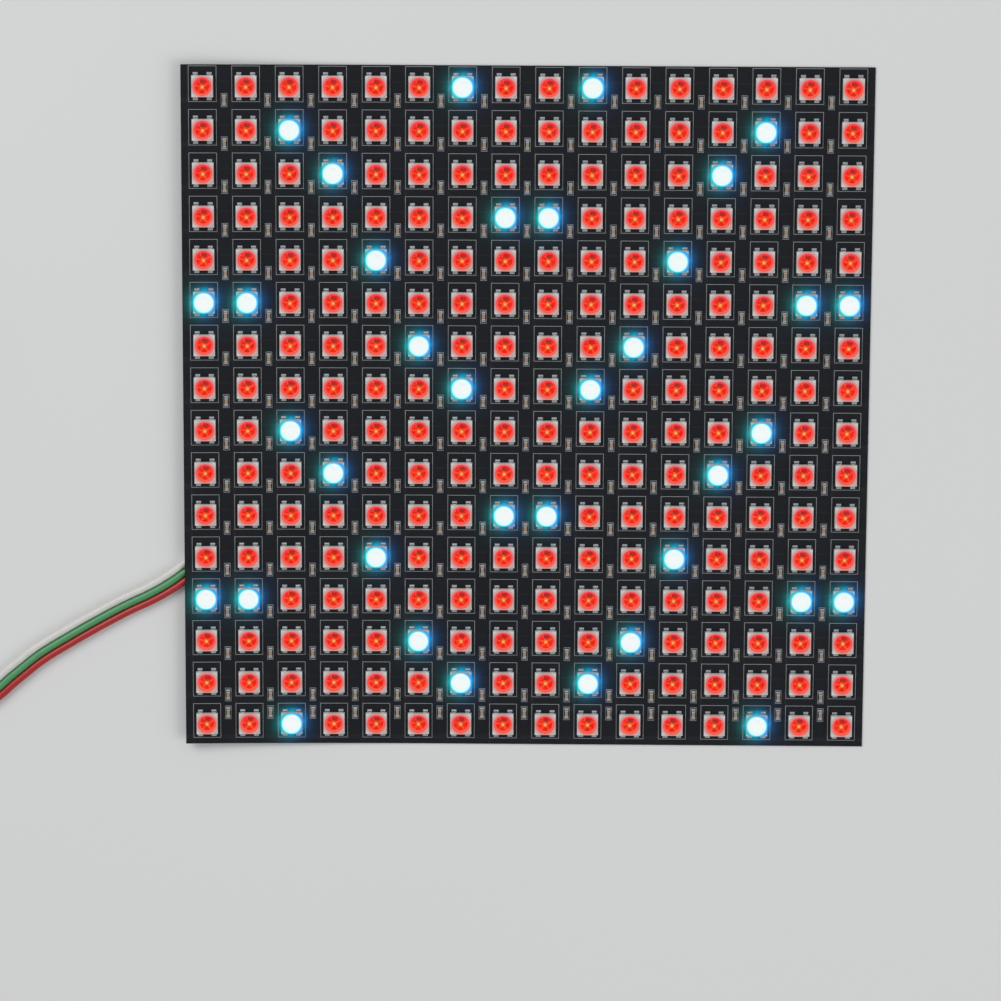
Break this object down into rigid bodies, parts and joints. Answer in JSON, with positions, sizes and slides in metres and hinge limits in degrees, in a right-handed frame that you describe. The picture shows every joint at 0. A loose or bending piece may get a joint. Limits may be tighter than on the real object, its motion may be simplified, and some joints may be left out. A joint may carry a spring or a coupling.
{
  "type": "led dot matrix",
  "caption": "Flat square flexible circuit board with a grid of lit square lamps on its face, small capacitors between them, and a three-wire lead with a plug.",
  "frame": {"origin": "middle of the panel at the level of its flat back, which lies on the table", "axes": "+X to the right and +Y towards the top row as the figure is read, +Z out of the lit face"},
  "size_m": [0.2228, 0.16, 0.0069],
  "materials": {
    "solder_mask": "matt black solder mask",
    "pad_gold": "thin gold over copper",
    "housing_white": "moulded white nylon, satin",
    "tin": "tin plated, slightly dull",
    "lens_red": "clear silicone, lit dim red",
    "lens_cool": "clear silicone, lit bright cool white",
    "capacitor_ceramic": "fired ceramic, matt",
    "solder": "bright solder",
    "wire_white": "soft wire insulation, white",
    "wire_green": "soft wire insulation, green",
    "wire_red": "soft wire insulation, dark red",
    "plug_nylon": "black nylon"
  },
  "bodies": {
    "root": {"flex_sheet": "solder_mask", "back_pads": "pad_gold", "housings_row_01": "housing_white", "housings_row_02": "housing_white", "housings_row_03": "housing_white", "housings_row_04": "housing_white", "housings_row_05": "housing_white", "housings_row_06": "housing_white", "housings_row_07": "housing_white", "housings_row_08": "housing_white", "housings_row_09": "housing_white", "housings_row_10": "housing_white", "housings_row_11": "housing_white", "housings_row_12": "housing_white", "housings_row_13": "housing_white", "housings_row_14": "housing_white", "housings_row_15": "housing_white", "housings_row_16": "housing_white", "terminals_row_01": "tin", "terminals_row_02": "tin", "terminals_row_03": "tin", "terminals_row_04": "tin", "terminals_row_05": "tin", "terminals_row_06": "tin", "terminals_row_07": "tin", "terminals_row_08": "tin", "terminals_row_09": "tin", "terminals_row_10": "tin", "terminals_row_11": "tin", "terminals_row_12": "tin", "terminals_row_13": "tin", "terminals_row_14": "tin", "terminals_row_15": "tin", "terminals_row_16": "tin", "red_lenses_row_01": "lens_red", "red_lenses_row_02": "lens_red", "red_lenses_row_03": "lens_red", "red_lenses_row_04": "lens_red", "red_lenses_row_05": "lens_red", "red_lenses_row_06": "lens_red", "red_lenses_row_07": "lens_red", "red_lenses_row_08": "lens_red", "red_lenses_row_09": "lens_red", "red_lenses_row_10": "lens_red", "red_lenses_row_11": "lens_red", "red_lenses_row_12": "lens_red", "red_lenses_row_13": "lens_red", "red_lenses_row_14": "lens_red", "red_lenses_row_15": "lens_red", "red_lenses_row_16": "lens_red", "cool_lenses": "lens_cool", "capacitor_bodies": "capacitor_ceramic", "capacitor_ends": "tin", "solder_joints": "solder", "wire_white": "wire_white", "wire_green": "wire_green", "wire_red": "wire_red", "plug_housing": "plug_nylon", "plug_contacts": "pad_gold"}
  },
  "joints": []
}
